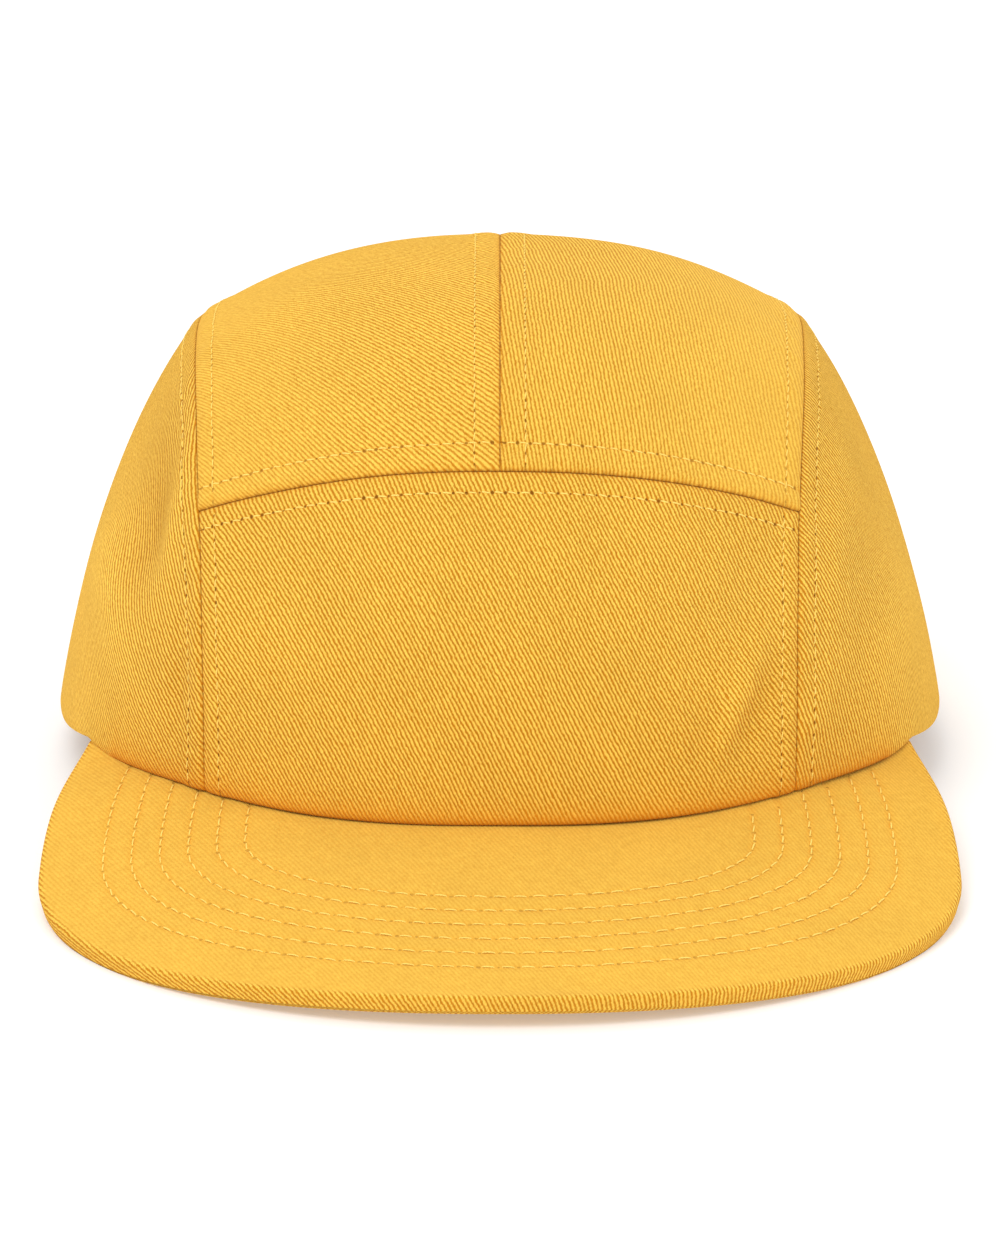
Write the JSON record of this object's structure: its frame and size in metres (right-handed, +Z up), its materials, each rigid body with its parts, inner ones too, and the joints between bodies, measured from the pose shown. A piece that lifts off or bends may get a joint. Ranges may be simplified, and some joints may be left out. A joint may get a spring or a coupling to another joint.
{
  "type": "five panel cap",
  "caption": "Cotton twill cap with a smooth front panel, a domed panelled crown, a wide stiff curved peak with stitched rows, and an adjustable strap at the back.",
  "frame": {"origin": "centre of the cap's footprint, on the surface that it rests on", "axes": "+Z up from the surface, the peak points towards -Y, the strap and clasp lie towards +Y, +X to the right seen from the front"},
  "size_m": [0.17, 0.2578, 0.0983],
  "materials": {
    "twill": "matte cotton twill",
    "band_cloth": "matte plain cotton",
    "clasp_plastic": "satin"
  },
  "bodies": {
    "root": {"front_panel": "twill", "top_panel_left": "twill", "top_panel_right": "twill", "side_panel_left": "twill", "side_panel_right": "twill", "peak": "twill", "sweatband": "band_cloth", "back_strap": "twill", "clasp": "clasp_plastic"}
  },
  "joints": []
}
